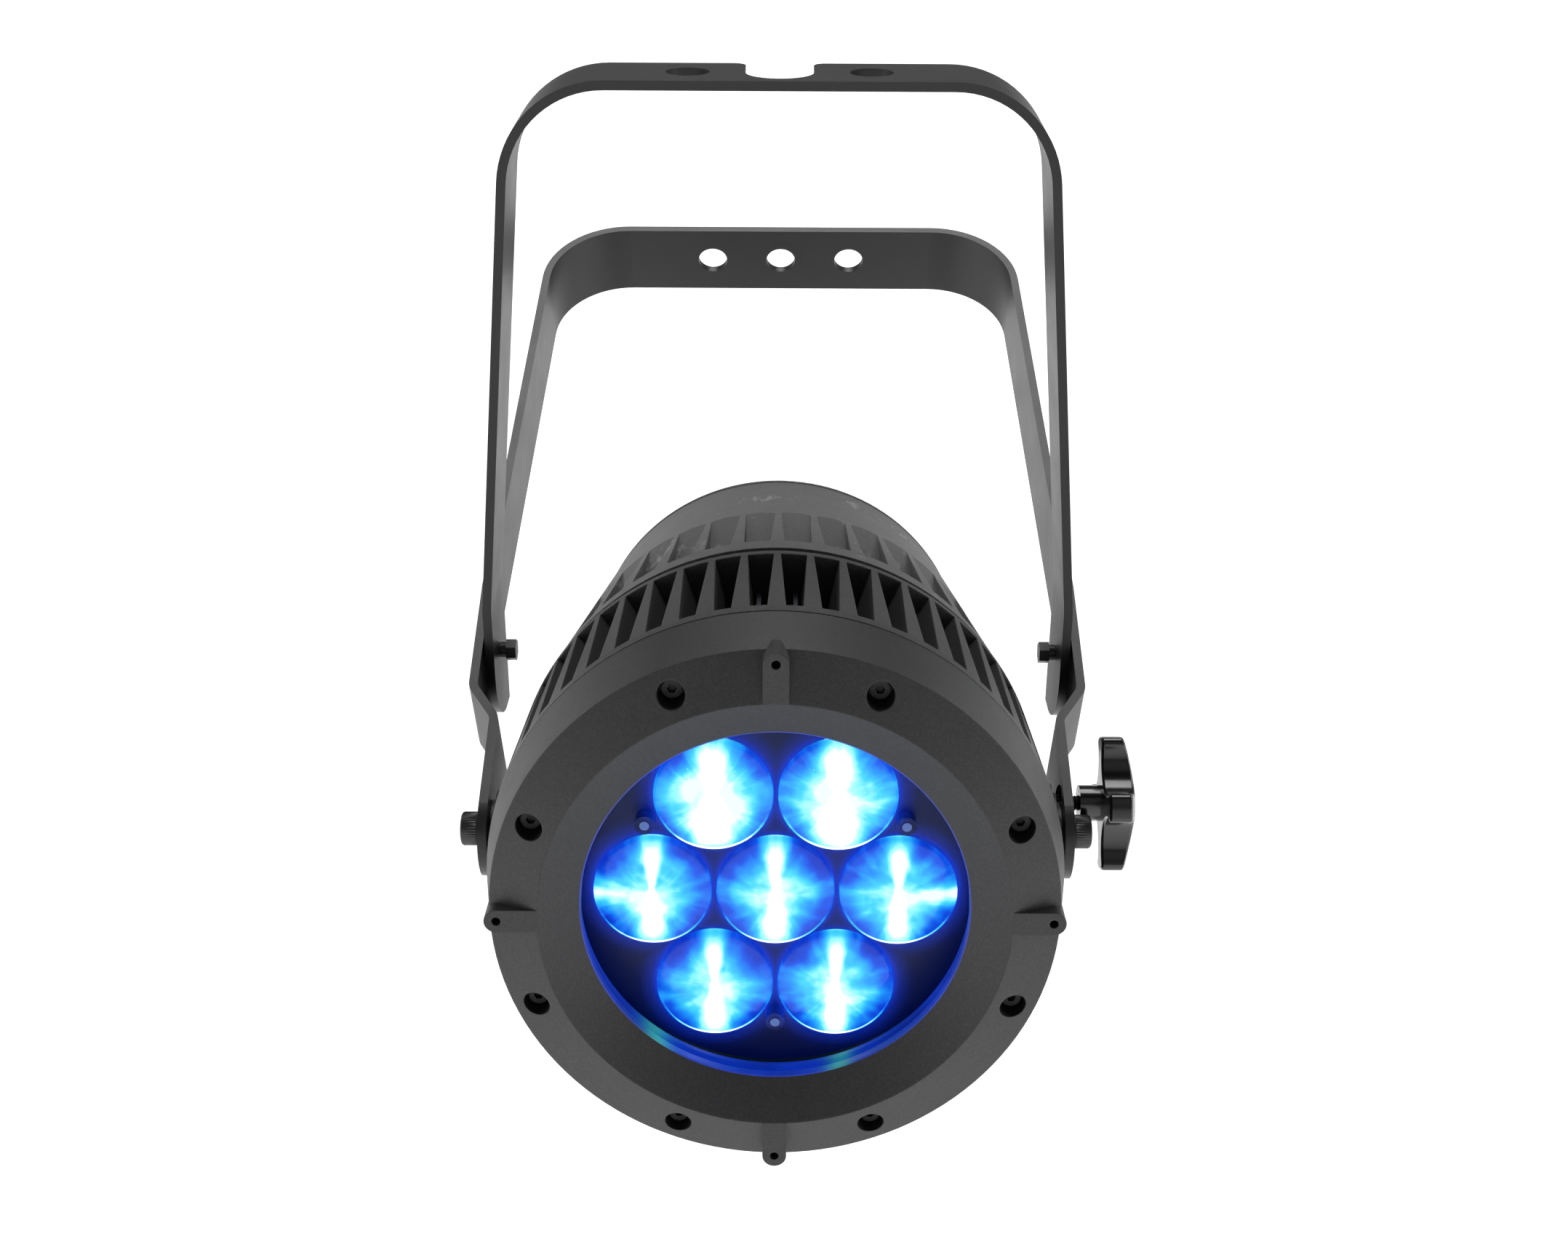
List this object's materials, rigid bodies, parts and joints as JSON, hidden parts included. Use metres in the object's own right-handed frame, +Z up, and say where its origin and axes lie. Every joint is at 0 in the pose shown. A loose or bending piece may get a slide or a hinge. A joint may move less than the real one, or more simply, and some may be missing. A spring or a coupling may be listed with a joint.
{
  "type": "led par can light",
  "caption": "LED par can with a round finned head, domed zoom lenses behind glass, a slotted hanging yoke, a folding second yoke and a tilt-lock knob.",
  "frame": {"origin": "middle of the centre clamp hole in the main yoke's bar, half way through the strap", "axes": "+X to the right seen from the front, +Y away from the audience, +Z up; the head looks towards -Y and 21.5 degrees down"},
  "size_m": [0.2604, 0.3405, 0.4078],
  "materials": {
    "casting": "satin charcoal powder coat on a fine-grained casting",
    "yoke_steel": "satin black powder coat",
    "black_steel": "black oxide",
    "clear_glass": "clear toughened glass",
    "lens_acrylic": "clear moulded acrylic, lit blue",
    "lens_plate_paint": "matt dark blue-black",
    "rubber": "matt black silicone",
    "inner_metal": "dark anodised",
    "sink_metal": "plain extruded",
    "circuit": "green solder mask",
    "emitter": "white ceramic with a clear dome",
    "steel": "bright zinc",
    "knob_plastic": "glossy black",
    "panel_plastic": "matt black",
    "button_rubber": "matt dark grey",
    "display_glass": "dark display window",
    "socket_plastic": "black, satin"
  },
  "bodies": {
    "yoke": {"main_yoke": "yoke_steel", "stand_bolts": "black_steel", "stand_nuts": "black_steel"},
    "stand": {"second_yoke": "yoke_steel"},
    "head": {"front_bezel": "casting", "fin_housing": "casting", "rear_housing": "casting", "rear_cover": "casting", "bezel_screws": "black_steel", "cover_screws": "black_steel", "tilt_bolts": "black_steel", "tilt_washers": "black_steel", "safety_eye": "black_steel", "front_glass": "clear_glass", "glass_gasket": "rubber", "bezel_seal": "rubber", "rear_gasket": "rubber", "friction_discs": "panel_plastic", "glass_retainer": "inner_metal", "optics_barrel": "inner_metal", "chassis_plate": "inner_metal", "heat_sink": "sink_metal", "led_board": "circuit", "driver_board": "circuit", "control_board": "circuit", "led_emitters": "emitter", "guide_rods": "steel", "standoffs": "steel", "zoom_motor": "steel", "power_supply": "panel_plastic", "control_panel": "panel_plastic", "vent_plug": "panel_plastic", "display": "display_glass", "power_in": "socket_plastic", "power_out": "socket_plastic", "data_in": "socket_plastic", "data_out": "socket_plastic"},
    "knob": {"tilt_knob": "knob_plastic", "knob_stud": "black_steel", "knob_washer": "black_steel"},
    "zoom": {"lens_plate": "lens_plate_paint", "zoom_nut": "steel", "zoom_lens_1": "lens_acrylic", "zoom_lens_2": "lens_acrylic", "zoom_lens_3": "lens_acrylic", "zoom_lens_4": "lens_acrylic", "zoom_lens_5": "lens_acrylic", "zoom_lens_6": "lens_acrylic", "zoom_lens_7": "lens_acrylic"},
    "lead_screw": {"lead_screw": "steel"},
    "button_1": {"menu_button_1": "button_rubber"},
    "button_2": {"menu_button_2": "button_rubber"},
    "button_3": {"menu_button_3": "button_rubber"},
    "button_4": {"menu_button_4": "button_rubber"}
  },
  "joints": [
    {"name": "tilt", "type": "hinge", "parent": "yoke", "child": "head", "pos_m": [0, -0.22227, -0.26025], "axis": [1, 0, 0], "range_deg": [-43.5, 56.5]},
    {"name": "stand_fold", "type": "hinge", "parent": "yoke", "child": "stand", "pos_m": [0, -0.16421, -0.19227], "axis": [1, 0, 0], "range_deg": [-64, 30]},
    {"name": "knob_turn", "type": "hinge", "parent": "head", "child": "knob", "pos_m": [0.112, -0.21152, -0.25022], "axis": [1, 0, 0], "continuous": true},
    {"name": "zoom_slide", "type": "slide", "parent": "head", "child": "zoom", "axis": [0, 0.9304, 0.3665], "range_m": [0, 0.013]},
    {"name": "screw_turn", "type": "hinge", "parent": "head", "child": "lead_screw", "pos_m": [0, -0.2523, -0.21404], "axis": [0, 0.9304, 0.3665], "range_deg": [-5, 1175]},
    {"name": "button_1_press", "type": "slide", "parent": "head", "child": "button_1", "axis": [0, -0.9304, -0.3665], "range_m": [0, 0.0012], "stiffness_N_per_m": 600, "springref_m": -0.0006},
    {"name": "button_2_press", "type": "slide", "parent": "head", "child": "button_2", "axis": [0, -0.9304, -0.3665], "range_m": [0, 0.0012], "stiffness_N_per_m": 600, "springref_m": -0.0006},
    {"name": "button_3_press", "type": "slide", "parent": "head", "child": "button_3", "axis": [0, -0.9304, -0.3665], "range_m": [0, 0.0012], "stiffness_N_per_m": 600, "springref_m": -0.0006},
    {"name": "button_4_press", "type": "slide", "parent": "head", "child": "button_4", "axis": [0, -0.9304, -0.3665], "range_m": [0, 0.0012], "stiffness_N_per_m": 600, "springref_m": -0.0006}
  ],
  "couplings": [
    {"joint": "screw_turn", "follows": "zoom_slide", "rad_per_m": 1570.8}
  ]
}
